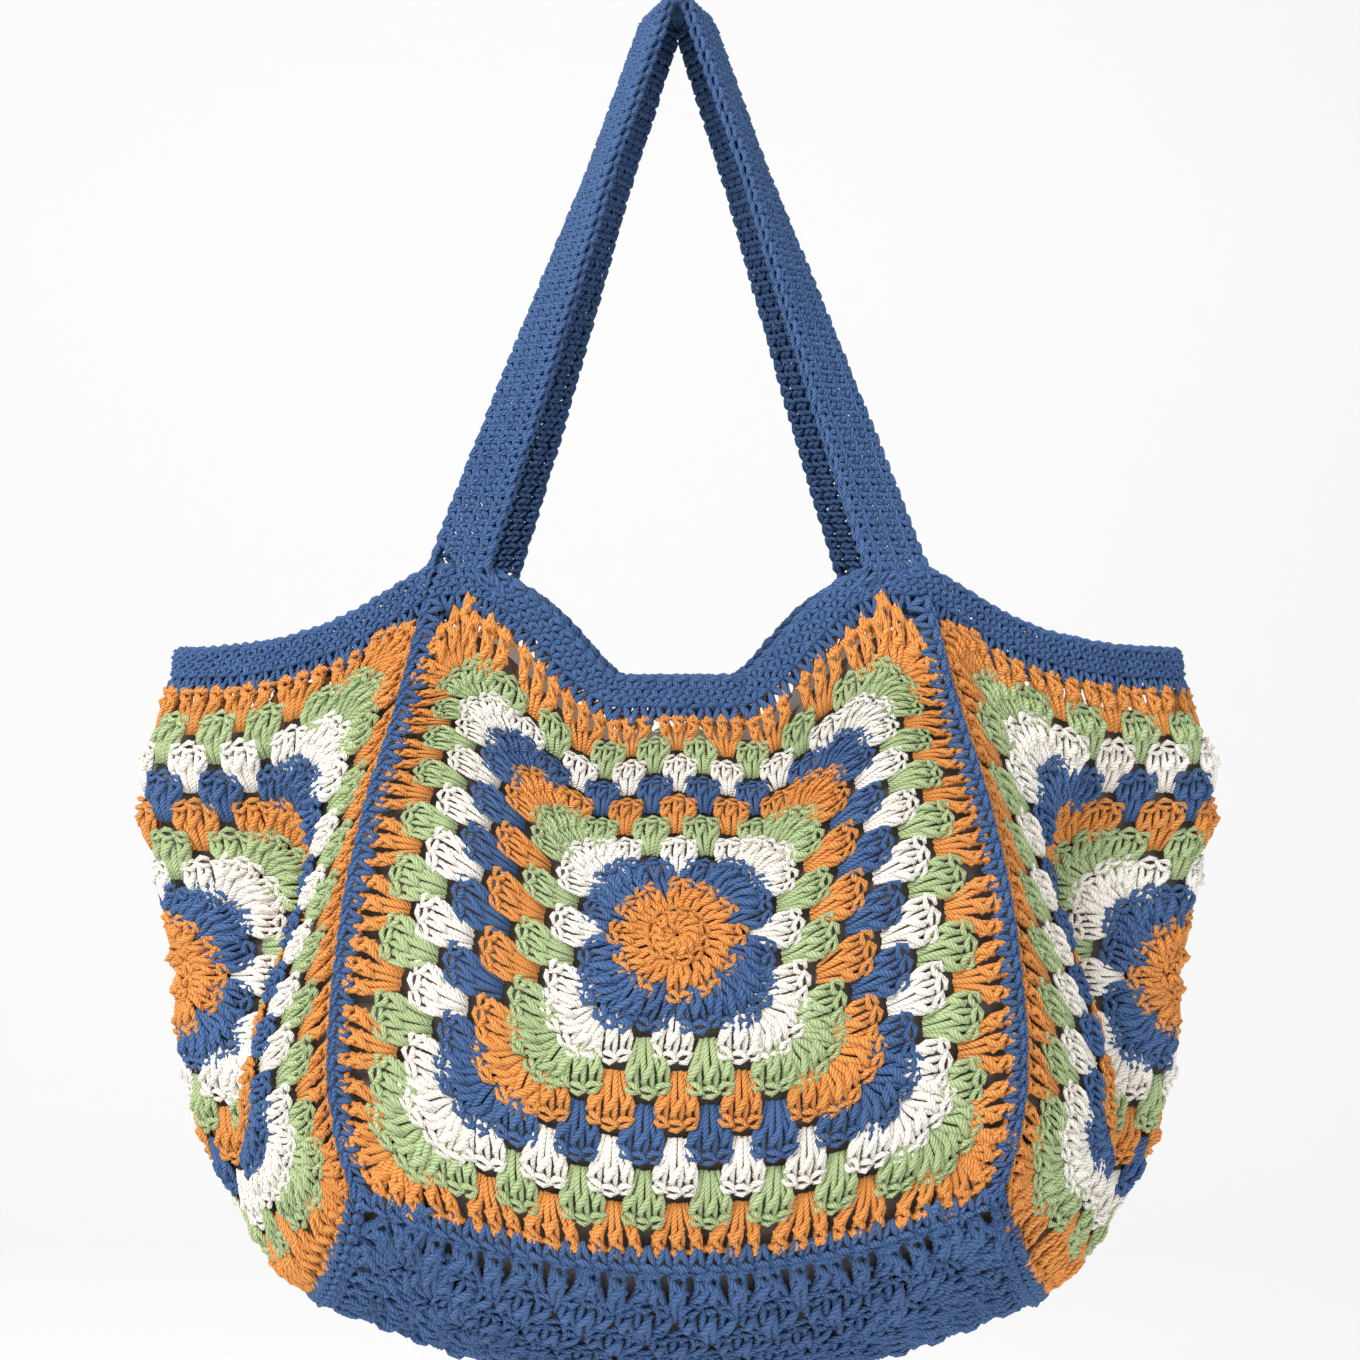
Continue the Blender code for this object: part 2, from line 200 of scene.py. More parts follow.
SIDE_SECTIONS = np.array((
    # step, plain_out, plain_depth, before, after, tuck, pleat_depth
    (0.000, 0.00, 0.00, 0.00, 0.00, 0.00, 0.00),
    (0.143, 0.23, 0.17, 0.52, 0.00, 0.00, 0.16),
    (0.286, 0.44, 0.34, 0.92, 0.00, 0.00, 0.34),
    (0.429, 0.58, 0.46, 1.00, 0.00, 0.00, 0.47),
    (0.571, 0.70, 0.58, 1.00, 0.05, 0.07, 0.61),
    (0.714, 0.82, 0.71, 1.00, 0.35, 0.06, 0.73),
    (0.857, 0.93, 0.85, 1.00, 0.82, 0.02, 0.86),
    (1.000, 1.00, 1.00, 1.00, 1.00, 0.00, 1.00),
))


def column_at(table, column, share):
    """Values of one column of a table at shares between its rows, on a smooth curve."""
    spots = table[:, 0]
    values = table[:, column]
    last = len(spots) - 1
    low = np.maximum(np.arange(last + 1) - 1, 0)
    high = np.minimum(np.arange(last + 1) + 1, last)
    slopes = (values[high] - values[low]) / (spots[high] - spots[low])
    row = np.searchsorted(spots[1:-1], share, side="left")
    span = spots[row + 1] - spots[row]
    part = np.clip((share - spots[row]) / span, 0.0, 1.0)
    square = part * part
    cube = square * part
    return (
        (2.0 * cube - 3.0 * square + 1.0) * values[row]
        + (cube - 2.0 * square + part) * span * slopes[row]
        + (3.0 * square - 2.0 * cube) * values[row + 1]
        + (cube - square) * span * slopes[row + 1]
    )


def ease(share):
    part = np.clip(share, 0.0, 1.0)
    return part * part * (3.0 - 2.0 * part)


def corner(height):
    """The front right corner seam at shares of its height."""
    return np.stack((
        CORNER_HALF_WIDTH * column_at(SEAM_SECTIONS, 1, height),
        -CORNER_DEPTH * column_at(SEAM_SECTIONS, 2, height),
        BASE_CORNER_Z + BODY_HEIGHT * height,
    ), axis=-1)


def front_wall(across, height):
    seam = corner(height)
    reach = np.abs(across)
    low = BASE_CORNER_Z - FRONT_SAG * (1.0 - reach ** 2.0)
    high = TOP_CORNER_Z - MOUTH_DIP * (1.0 - ease((reach - 0.25) / 0.60))
    belly = FRONT_BELLY * column_at(BELLY_SECTIONS, 1, height) * np.cos(np.pi * across / 2.0)
    return np.stack((
        seam[..., 0] * across,
        seam[..., 1] - belly,
        low + (high - low) * height,
    ), axis=-1)


def right_wall(across, height):
    seam = corner(height)
    step = 1.0 - np.abs(across)
    reach = SIDE_HALF_WIDTH * column_at(FOLD_SECTIONS, 1, height)
    ridge = column_at(FOLD_SECTIONS, 2, height)
    pleat = np.clip(column_at(FOLD_SECTIONS, 3, height), 0.0, 1.0)
    plain_out = column_at(SIDE_SECTIONS, 1, step)
    before = column_at(SIDE_SECTIONS, 3, step)
    after = column_at(SIDE_SECTIONS, 4, step)
    tuck = column_at(SIDE_SECTIONS, 5, step)
    pleat_out = ridge * before + (1.0 - ridge) * after - tuck
    out = plain_out + (pleat_out - plain_out) * pleat
    plain_depth = column_at(SIDE_SECTIONS, 2, step)
    depth = plain_depth + (column_at(SIDE_SECTIONS, 6, step) - plain_depth) * pleat
    bent = np.clip(1.0 - plain_out, 0.0, 1.0)
    low = BASE_CORNER_Z - SIDE_SAG * (1.0 - bent ** 1.7)
    high = TOP_CORNER_Z - SIDE_DIP * (1.0 - bent ** 2.8)
    return np.stack((
        seam[..., 0] + (reach - seam[..., 0]) * out,
        np.where(across < 0.0, seam[..., 1], -seam[..., 1]) * (1.0 - depth),
        low + (high - low) * height,
    ), axis=-1)


def wall(side, across, height):
    """Points of a wall, across from -1 to 1 counted anticlockwise seen from above."""
    across, height = np.broadcast_arrays(across, height)
    spots = front_wall(across, height) if side in ("front", "back") else right_wall(across, height)
    if side in ("back", "left"):
        spots = spots * np.array((-1.0, -1.0, 1.0))
    return spots


class Cloth:
    """A knitted sheet as a fine grid, to lay stitches on. Its own places run from -1 to 1."""

    def __init__(self, spots):
        self.spots = spots
        along_a = np.gradient(spots, axis=1)
        along_b = np.gradient(spots, axis=0)
        normals = np.cross(along_a, along_b)
        self.normals = normals / np.linalg.norm(normals, axis=-1, keepdims=True)

    def lay(self, a, b, lift):
        """World places of sheet places a and b, lifted off the sheet."""
        rows, columns = self.spots.shape[:2]
        x = (a + 1.0) / 2.0 * (columns - 1)
        y = (b + 1.0) / 2.0 * (rows - 1)
        column = np.clip(x.astype(int), 0, columns - 2)
        row = np.clip(y.astype(int), 0, rows - 2)
        x = (x - column)[..., None]
        y = (y - row)[..., None]
        found = []
        for grid in (self.spots, self.normals):
            near = grid[row, column] * (1.0 - x) + grid[row, column + 1] * x
            far = grid[row + 1, column] * (1.0 - x) + grid[row + 1, column + 1] * x
            found.append(near * (1.0 - y) + far * y)
        return found[0] + found[1] * lift[..., None]


GRID = 81


def wall_cloth(side):
    """A wall's cloth. Its rows lie closer together towards the slack mouth."""
    up = np.linspace(-1.0, 1.0, GRID)[:, None]
    across = np.linspace(-1.0, 1.0, GRID)[None, :]
    if side in ("front", "back"):
        pull = np.clip(up, 0.0, 1.0) ** 2.0 * (1.0 - np.clip(up, 0.0, 1.0) ** 8.0)
        bend = (np.sqrt(up ** 2.0 + 0.05) - 0.2236) / (1.0247 - 0.2236)
        height = 0.6 + 0.5 * up - 0.1 * bend - 0.13 * np.abs(across) * pull
        return Cloth(wall(side, across, height))
    height = 0.5 + 0.5 * up + 0.02 * (1.0 - up ** 2.0)
    fine = wall(side, np.linspace(-1.0, 1.0, 241)[None, :], height)
    lengths = np.linalg.norm(np.diff(fine, axis=1), axis=-1)
    spots = np.empty((GRID, GRID, 3))
    for row in range(GRID):
        run = np.concatenate(((0.0,), np.cumsum(lengths[row])))
        wanted = np.linspace(0.0, run[-1], GRID)
        for axis in range(3):
            spots[row, :, axis] = np.interp(wanted, run, fine[row, :, axis])
    return Cloth(spots)


# Stitches are drawn in millimetres: x along the row, y up the stitch, z off the cloth.
MM = 0.001
YARN_RADIUS = 1.3
LAY_LENGTH = 7.5          # one full turn of the plies


def smooth_route(points, steps):
    """Points on a smooth curve through a few points."""
    knots = np.array(points, dtype=float)
    padded = np.vstack((2.0 * knots[0] - knots[1], knots, 2.0 * knots[-1] - knots[-2]))
    spots = []
    for share in np.linspace(0.0, len(knots) - 1.0, steps + 1):
        index = min(int(share), len(knots) - 2)
        t = share - index
        p0, p1, p2, p3 = padded[index:index + 4]
        spots.append(0.5 * (
            2.0 * p1
            + (p2 - p0) * t
            + (2.0 * p0 - 5.0 * p1 + 4.0 * p2 - p3) * t ** 2
            + (3.0 * p1 - p0 - 3.0 * p2 + p3) * t ** 3
        ))
    return [Vector(spot) for spot in spots]


def lay_yarn(builder, points, steps, radius=YARN_RADIUS, sides=5):
    """One closed piece of yarn along a route, its place round and along it kept as UV."""
    uv = builder.loops.layers.uv.verify()
    number = builder.verts.layers.int.get("number") or builder.verts.layers.int.new("number")
    route = smooth_route(points, steps)
    circle = bmesh.ops.create_circle(builder, cap_ends=False, segments=sides, radius=1.0)["verts"]
    for index, vertex in enumerate(circle):
        vertex[number] = index
    ring = circle
    start = draw.uniform(0.0, 1.0)
    travelled = 0.0
    for station, spot in enumerate(route):
        if station:
            grown = bmesh.ops.extrude_edge_only(builder, edges=edges_of_ring(ring))["geom"]
            ring = [item for item in grown if isinstance(item, bmesh.types.BMVert)]
            faces = [item for item in grown if isinstance(item, bmesh.types.BMFace)]
        before = route[max(station - 1, 0)]
        after = route[min(station + 1, steps)]
        ahead = (after - before).normalized()
        beside = ahead.cross(Vector((0.0, 0.0, 1.0)))
        if beside.length < 0.15:
            beside = ahead.cross(Vector((0.0, 1.0, 0.0)))
        beside.normalize()
        above = beside.cross(ahead)
        reach = radius * (0.72 if station in (0, steps) else 1.0)
        for vertex in ring:
            angle = 2.0 * math.pi * vertex[number] / sides
            vertex.co = spot + (beside * math.cos(angle) + above * math.sin(angle)) * reach
        if station:
            stretch = (spot - route[station - 1]).length / LAY_LENGTH
            fresh = set(ring)
            for face in faces:
                numbers = [loop.vert[number] for loop in face.loops]
                wraps = 0 in numbers and sides - 1 in numbers
                for loop in face.loops:
                    turn = sides if wraps and loop.vert[number] == 0 else loop.vert[number]
                    reached = travelled + (stretch if loop.vert in fresh else 0.0)
                    loop[uv].uv = (turn / sides, start + reached)
            travelled += stretch
        if station in (0, steps):
            cap = builder.faces.new(sorted(ring, key=lambda vertex: vertex[number]))
            for loop in cap.loops:
                loop[uv].uv = (loop.vert[number] / sides, start + travelled)


def edges_of_ring(ring):
    found = []
    for vertex in ring:
        for edge in vertex.link_edges:
            if edge.other_vert(vertex) in ring and edge not in found:
                found.append(edge)
    return found


class Stitch:
    """The triangles of one stitch, ready to be laid many times."""

    def __init__(self, builder):
        bmesh.ops.recalc_face_normals(builder, faces=builder.faces)
        bmesh.ops.triangulate(builder, faces=builder.faces)
        uv = builder.loops.layers.uv.verify()
        builder.verts.index_update()
        self.places = np.array([vertex.co[:] for vertex in builder.verts])
        self.faces = np.array([[loop.vert.index for loop in face.loops] for face in builder.faces])
        self.uvs = np.array([[loop[uv].uv[:] for loop in face.loops] for face in builder.faces])
        builder.free()


class Knitting:
    """Stitches gathered into one mesh."""

    def __init__(self):
        self.places = []
        self.faces = []
        self.uvs = []
        self.colours = []
        self.shades = []
        self.count = 0

    def add(self, stitch, places, colours):
        """places is (copies, vertices, 3) in metres, colours one material number for each copy."""
        copies, size = places.shape[:2]
        offsets = self.count + np.arange(copies) * size
        self.places.append(places.reshape(-1, 3))
        self.faces.append((stitch.faces[None] + offsets[:, None, None]).reshape(-1, 3))
        self.uvs.append(np.tile(stitch.uvs.reshape(-1, 2), (copies, 1)))
        self.colours.append(np.repeat(colours, len(stitch.faces)))
        self.shades.append(np.repeat(draw.uniform(0.0, 1.0, copies), size))
        self.count += copies * size

    def finish(self, name, materials):
        places = np.concatenate(self.places).astype(np.float32)
        faces = np.concatenate(self.faces).astype(np.int32)
        mesh = bpy.data.meshes.new(name)
        mesh.vertices.add(len(places))
        mesh.vertices.foreach_set("co", places.ravel())
        mesh.loops.add(faces.size)
        mesh.loops.foreach_set("vertex_index", faces.ravel())
        mesh.polygons.add(len(faces))
        mesh.polygons.foreach_set("loop_start", np.arange(0, faces.size, 3, dtype=np.int32))
        mesh.polygons.foreach_set("material_index", np.concatenate(self.colours).astype(np.int32))
        uv = mesh.uv_layers.new(name="yarn")
        uv.data.foreach_set("uv", np.concatenate(self.uvs).astype(np.float32).ravel())
        shade = mesh.attributes.new("shade", "FLOAT", "POINT")
        shade.data.foreach_set("value", np.concatenate(self.shades).astype(np.float32))
        mesh.update(calc_edges=True)
        mesh.validate()
        mesh.shade_smooth()
        for material in materials:
            mesh.materials.append(material)
        piece = bpy.data.objects.new(name, mesh)
        bpy.context.scene.collection.objects.link(piece)
        return piece


CLUSTER_HEIGHT = 23.0


def double_crochet(builder, centre, placed, tilt, pointed, wobble, sides):
    """One tall stitch: two legs, the yarn wrapped across them, and the loop on top."""
    beside = np.array((1.0, 0.0, 0.0))
    lift = np.array((0.0, 0.0, 1.0))
    along = np.array((math.cos(tilt), math.sin(tilt), 0.0))
    outward = np.array((-math.sin(tilt), math.cos(tilt), 0.0))
    head = centre(0.97)
    routes = []
    for hand in (-1.0, 1.0):
        route = []
        for t in (0.0, 0.3, 0.64, 0.93):
            half = 0.85 + (1.1 * t if pointed else 0.62 * math.sin(math.pi * 0.8 * t))
            route.append(centre(t) + beside * hand * half)
        routes.append(route)
    routes.append((
        centre(0.44) - beside * 2.3 - lift * 0.4,
        centre(0.54) - beside * 0.8 + lift * 1.4,
        centre(0.68) + beside * 0.8 + lift * 1.6,
        centre(0.80) + beside * 2.4 + lift * 0.1,
    ))
    if pointed:
        routes.append((
            centre(0.60) + beside * 2.9 - lift * 0.2,
            centre(0.70) + beside * 1.0 + lift * 1.3,
            centre(0.80) - beside * 1.1 + lift * 1.7,
            centre(0.92) - beside * 3.0 + lift * 0.3,
        ))
        routes.append((
            head - along * 1.7 - outward * 2.8 + lift * 1.3,
            head - along * 1.0 + outward * 0.1 + lift * 1.9,
            head + outward * 1.6 + lift * 0.7,
            head + along * 1.0 + outward * 0.1 + lift * 1.9,
            head + along * 1.7 - outward * 2.8 + lift * 1.1,
        ))
        routes.append((
            head - along * 4.4 - outward * 0.4 + lift * 0.2,
            head - along * 1.3 - outward * 1.2 + lift * 1.5,
            head + along * 1.6 - outward * 0.5 + lift * 1.5,
            head + along * 4.4 - outward * 0.9 + lift * 0.1,
        ))
    else:
        routes.append((
            head + along * 3.3 + outward * 1.2 + lift * 0.2,
            head + along * 0.7 + outward * 1.9 + lift * 0.9,
            head - along * 2.5 + outward * 0.1 + lift * 0.6,
            head + along * 0.5 - outward * 1.6 + lift * 1.5,
            head + along * 3.2 - outward * 1.4 + lift * 0.5,
        ))
    for route in routes:
        spots = [placed(spot + draw.normal(0.0, wobble, 3)) for spot in route]
        lay_yarn(builder, spots, len(route) - 1, sides=sides)


def cluster(lobes, count, base_spread, top_spread, sides, pointed=False, wobble=0.2):
    """Fans of double crochets worked into one gap. Each lobe is its foot and its top."""
    builder = bmesh.new()
    places = np.linspace(-1.0, 1.0, count) if count > 1 else np.zeros(1)
    for foot, top in lobes:
        run = np.array(top, dtype=float) - np.array(foot, dtype=float)
        length = float(np.linalg.norm(run))
        run = run / length

        def placed(spot, foot=foot, run=run):
            x = foot[0] + run[1] * spot[0] + run[0] * spot[1]
            y = foot[1] - run[0] * spot[0] + run[1] * spot[1]
            return np.array((x, y, spot[2]))

        for place in places:
            def centre(t, place=place):
                spread = base_spread + (top_spread - base_spread) * float(ease(t / 0.74))
                if not pointed:
                    spread -= 0.10 * top_spread * max(t - 0.8, 0.0) / 0.2
                lift = 0.2 + 2.5 * math.sin(math.pi * (0.06 + 0.80 * t))
                lift -= 0.9 * abs(place) * math.sin(math.pi * min(t + 0.1, 1.0))
                drop = (0.3 if pointed else 1.4) * abs(place) * t
                return np.array((spread * place, length * 0.95 * t - drop, lift))

            tilt = (-0.10 if pointed else -0.55) * place
            double_crochet(builder, centre, placed, tilt, pointed, wobble, sides)
    return Stitch(builder)


ROUNDS = 10
ROUND_WIDTH = 13.0
CLUSTER_PITCH = 24.4
PETALS = 12
RUST, BLUE, CREAM, GREEN = range(4)
ROUND_COLOURS = (RUST, RUST, BLUE, CREAM, GREEN, RUST, BLUE, CREAM, GREEN, RUST)
VARIANTS = 5


def flat_turns(points):
    """The same points on all four sides of a square."""
    turned = []
    for quarter in range(4):
        angle = quarter * math.pi / 2.0
        turn = np.array(((math.cos(angle), -math.sin(angle)), (math.sin(angle), math.cos(angle))))
        turned.append(points @ turn.T)
    return np.concatenate(turned)


def round_plan(number):
    """Feet and tops of the clusters along one side of a round, in millimetres from the middle."""
    edge = number * ROUND_WIDTH
    feet = []
    tops = []
    for index in range(1, number):
        x = (index - number / 2.0) * CLUSTER_PITCH
        foot = (x, edge - CLUSTER_HEIGHT)
        if number == 3:
            foot = (math.copysign(4.6, x), 17.0)
        feet.append(foot)
        tops.append((x, edge - 0.5))
    return flat_turns(np.array(feet)), flat_turns(np.array(tops))


def corner_plan(number):
    """Foot and top of the corner fans of one round, along the diagonals."""
    edge = number * ROUND_WIDTH
    foot = 14.0 if number == 3 else edge - CORNER_FOOT
    top = edge - CORNER_FOOT + CORNER_HEIGHT / math.sqrt(2.0)
    return flat_turns(np.array(((foot, foot),))), flat_turns(np.array(((top, top),)))


def knit_round(knitting, cloth, ready, height, feet, tops, colour, fullness):
    """Lay clusters from their feet to their tops, taking the ready stitches in turn."""
    reach = ROUNDS * ROUND_WIDTH * CHART_MARGIN
    picks = draw.integers(0, len(ready), len(feet))
    for pick, stitch in enumerate(ready):
        chosen = picks == pick
        if not chosen.any():
            continue
        foot = feet[chosen]
        run = tops[chosen] - foot
        length = np.linalg.norm(run, axis=1, keepdims=True)
        up = run / length
        up = up + draw.normal(0.0, 0.05, up.shape)
        up = up / np.linalg.norm(up, axis=1, keepdims=True)
        beside = np.stack((up[:, 1], -up[:, 0]), axis=1)
        wide = draw.normal(fullness, 0.035, (len(foot), 1))
        x = stitch.places[None, :, 0] * wide
        y = stitch.places[None, :, 1] * length / height
        spots = foot[:, None] + beside[:, None] * x[..., None] + up[:, None] * y[..., None]
        lift = stitch.places[None, :, 2] * draw.normal(1.0, 0.08, (len(foot), 1))
        laid = cloth.lay(spots[..., 0] / reach, spots[..., 1] / reach, lift * MM)
        knitting.add(stitch, laid, np.full(len(foot), colour))


def granny_square(cloth, kit, colours, fullness=1.0):
    knitting = Knitting()
    turns = np.arange(PETALS) * 2.0 * math.pi / PETALS
    spokes = np.stack((np.cos(turns + math.pi / PETALS), np.sin(turns + math.pi / PETALS)), axis=1)
    knit_round(knitting, cloth, kit["post"], 11.0, spokes * 0.8, spokes * 12.0, colours[0], 1.0)
    spokes = np.stack((np.cos(turns), np.sin(turns)), axis=1)
    knit_round(knitting, cloth, kit["petal"], 20.0, spokes * 8.5, spokes * 29.0, colours[1], 1.0)
    for number in range(3, ROUNDS + 1):
        last = number == ROUNDS
        colour = colours[number - 1]
        feet, tops = round_plan(number)
        ready = kit["edge"] if last else kit["cluster"]
        knit_round(knitting, cloth, ready, CLUSTER_HEIGHT, feet, tops, colour, fullness)
        feet, tops = corner_plan(number)
        ready = kit["edge corner"] if last else kit["corner"]
        knit_round(knitting, cloth, ready, CORNER_HEIGHT, feet, tops, colour, fullness)
    return knitting


CHART_MARGIN = 1.004
CORNER_FOOT = 21.3
CORNER_HEIGHT = 20.6
ONE_LOBE = (((0.0, 0.0), (0.0, CLUSTER_HEIGHT)),)
TWO_LOBES = (((-1.9, 0.0), (-9.2, CORNER_HEIGHT)), ((1.9, 0.0), (9.2, CORNER_HEIGHT)))


def stitch_kit(sides):
    """Ready stitches of every kind, some versions of each, in yarn of so many flat sides."""
    post = (((0.0, 0.0), (0.0, 11.0)),)
    petal = (((0.0, 0.0), (0.0, 20.0)),)
    return {
        "post": [cluster(post, 1, 0.0, 0.0, sides, wobble=0.12) for _ in range(3)],
        "petal": [cluster(petal, 2, 1.3, 2.9, sides) for _ in range(3)],
        "cluster": [cluster(ONE_LOBE, 3, 2.2, 6.1, sides) for _ in range(VARIANTS)],
        "corner": [cluster(TWO_LOBES, 3, 1.2, 5.2, sides) for _ in range(3)],
        "edge": [cluster(ONE_LOBE, 3, 2.5, 7.9, sides, True) for _ in range(VARIANTS)],
        "edge corner": [cluster(TWO_LOBES, 3, 1.4, 6.4, sides, True) for _ in range(2)],
    }


PLIES = 4
# The first colour of each pair is painted shade for the grooves between the plies, the second the
# cotton's colour on the plies' crowns.
RUST_COTTON = ((0.30, 0.078, 0.012), (0.86, 0.350, 0.090))
BLUE_COTTON = ((0.002, 0.012, 0.046), (0.074, 0.153, 0.345))
CREAM_COTTON = ((0.74, 0.62, 0.48), (0.99, 0.965, 0.91))
GREEN_COTTON = ((0.19, 0.265, 0.100), (0.48, 0.59, 0.310))


def cotton(name, tones):
    """Plied cotton: the plies turn round the strand, with painted shade in the grooves between them."""
    groove_shade, light = tones
    material, nodes, links, shader = new_material(name, 0.82, 0.28)
    shader.inputs["Sheen Tint"].default_value = (*[min(1.0, value * 1.4 + 0.1) for value in light], 1.0)
    place = nodes.new("ShaderNodeTexCoord").outputs["Object"]
    yarn = nodes.new("ShaderNodeUVMap")
    yarn.uv_map = "yarn"
    apart = nodes.new("ShaderNodeSeparateXYZ")
    links.new(yarn.outputs["UV"], apart.inputs[0])
    turn = math_node(nodes, links, "ADD", apart.outputs["X"], apart.outputs["Y"])
    ply_shade_and_bump = math_node(nodes, links, "FRACT", math_node(nodes, links, "MULTIPLY", turn, float(PLIES)))
    ply_shade_and_bump = math_node(nodes, links, "PINGPONG", math_node(nodes, links, "ADD", ply_shade_and_bump, ply_shade_and_bump), 1.0)
    ply_shade_and_bump = math_node(nodes, links, "POWER", ply_shade_and_bump, 0.6)
    fibres = noise(nodes, links, place, 1500.0, 2.0)
    patches = noise(nodes, links, place, 90.0, 2.0)
    shade = nodes.new("ShaderNodeAttribute")
    shade.attribute_name = "shade"
    # The ply pattern paints shade into the grooves between the plies; fibres, patches and the
    # per-cluster attribute add random tone.
    tone = math_node(nodes, links, "MULTIPLY", ply_shade_and_bump, 0.72)
    tone = math_node(nodes, links, "ADD", tone, math_node(nodes, links, "MULTIPLY", fibres, 0.30))
    tone = math_node(nodes, links, "ADD", tone, math_node(nodes, links, "MULTIPLY", patches, 0.15))
    tone = math_node(
        nodes, links, "ADD", tone, math_node(nodes, links, "MULTIPLY", shade.outputs["Fac"], 0.16)
    )
    links.new(mix_colours(nodes, links, tone, groove_shade, light), shader.inputs["Base Color"])
    rise = math_node(nodes, links, "ADD", ply_shade_and_bump, math_node(nodes, links, "MULTIPLY", fibres, 0.5))
    bump(nodes, links, shader, rise, 1.0, 0.0005)
    return material


cottons = (
    cotton("rust_cotton", RUST_COTTON),
    cotton("blue_cotton", BLUE_COTTON),
    cotton("cream_cotton", CREAM_COTTON),
    cotton("green_cotton", GREEN_COTTON),
)

wall_kit = stitch_kit(5)
for side in ("front", "right", "back", "left"):
    square = granny_square(wall_cloth(side), wall_kit, ROUND_COLOURS)
    piece = square.finish("granny_square_" + side, cottons)
    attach(piece, "root")
    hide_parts("panel_" + side)


# The base: a fifth granny square, all in blue, bellied down by its own weight.
# Its last round is crocheted to the walls' feet.
def base_cloth():
    across = np.linspace(-1.0, 1.0, GRID)[None, :]
    along = np.linspace(1.0, -1.0, GRID)[:, None]
    low = np.zeros(1)
    front = wall("front", across, low)
    back = wall("back", -across, low)
    right = wall("right", along, low)
    left = wall("left", -along, low)
    right_share = ((across + 1.0) / 2.0)[..., None]
    back_share = ((along + 1.0) / 2.0)[..., None]
    corners = [front[:, :1], front[:, -1:], back[:, :1], back[:, -1:]]
    near = corners[0] * (1.0 - right_share) + corners[1] * right_share
    far = corners[2] * (1.0 - right_share) + corners[3] * right_share
    spots = front * (1.0 - back_share) + back * back_share
    spots = spots + left * (1.0 - right_share) + right * right_share
    spots = spots - near * (1.0 - back_share) - far * back_share
    spots[..., 2] -= BASE_BELLY * (1.0 - across ** 2.0) * (1.0 - along ** 2.0)
    return Cloth(spots)


base_yarn = (BLUE,) * ROUNDS
base = granny_square(base_cloth(), stitch_kit(4), base_yarn, 1.32).finish("base_square", cottons)
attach(base, "root")
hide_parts("base_panel")


# The corner seams and the base seam: blue single crochet that joins the squares.
# A raised chain runs along one side, and short teeth bite into the orange last rounds.
SEAM_PITCH = 6.4
SEAM_REACH = 8.0


def short_yarns(routes, steps=3, sides=4, radius=1.22):
    builder = bmesh.new()
    for route in routes:
        spots = [np.array(spot) + draw.normal(0.0, 0.2, 3) for spot in route]
        lay_yarn(builder, spots, steps, radius, sides)
    return Stitch(builder)


def strip_cloth(lines):
    """Cloth between lines that lie side by side, with even columns, and its length."""
    lines = np.array(lines)
    middle = lines[len(lines) // 2]
    run = np.concatenate(((0.0,), np.cumsum(np.linalg.norm(np.diff(middle, axis=0), axis=1))))
    wanted = np.linspace(0.0, run[-1], int(run[-1] / 0.002) + 2)
    spots = np.empty((len(lines), len(wanted), 3))
    for row, line in enumerate(lines):
        for axis in range(3):
            spots[row, :, axis] = np.interp(wanted, run, line[:, axis])
    return Cloth(spots), run[-1] / MM


def knit_row(knitting, strip, width, ready, pitch, y, lift, colour, turned=False, shift=0.0):
    """One row of stitches along a strip, y millimetres from its middle line."""
    cloth, length = strip
    count = int(round(length / pitch))
    step = length / count
    middles = (np.arange(count) + 0.5 + shift) * step - length / 2.0
    picks = draw.integers(0, len(ready), count)
    for pick, stitch in enumerate(ready):
        x = middles[picks == pick][:, None]
        if not len(x):
            continue
        hand = -1.0 if turned else 1.0
        x = x + hand * stitch.places[None, :, 0] * step / pitch
        across = y + hand * stitch.places[None, :, 1] * draw.normal(1.0, 0.06, (len(x), 1))
        height = (lift + stitch.places[None, :, 2]) * MM
        laid = cloth.lay(x / (length / 2.0), across / (width / 2.0), height)
        knitting.add(stitch, laid, np.full(len(x), colour))


seam_stitches = [
    short_yarns((
        ((-4.3, -2.2, 0.9), (-1.5, -2.5, 2.4), (1.5, -2.0, 2.6), (4.0, -0.6, 1.7)),
        ((-3.9, -0.2, 1.0), (-1.0, 0.1, 2.4), (2.0, -0.5, 2.9), (4.2, -1.7, 1.8)),
        ((-2.7, -0.2, 1.6), (-1.9, 2.2, 2.5), (-1.1, 4.2, 2.3), (-0.3, 6.1, 1.0)),
        ((2.7, -0.2, 1.6), (1.9, 2.2, 2.5), (1.1, 4.2, 2.3), (0.4, 6.3, 1.0)),
    ))
    for _ in range(3)
]


def beside(line, other, reach):
    """A line moved towards another by a distance along the cloth."""
    way = other - line
    return line + way / np.linalg.norm(way, axis=-1, keepdims=True) * reach


def corner_strip(mirror_x, mirror_y):
    height = np.linspace(0.0, 1.0, 61)
    joint = wall("front", np.ones(61), height)
    front = beside(joint, wall("front", np.full(61, 0.93), height), SEAM_REACH * MM)
    side = beside(joint, wall("right", np.full(61, -0.96), height), SEAM_REACH * MM)
    out = (joint - 0.5 * (front + side))
    joint = joint + out / np.linalg.norm(out, axis=-1, keepdims=True) * 0.001
    turn = np.array((mirror_x, mirror_y, 1.0))
    lines = [line * turn for line in (side, joint, front)]
    if mirror_x * mirror_y < 0.0:
        lines = [line[::-1] for line in lines]
    return strip_cloth(lines)


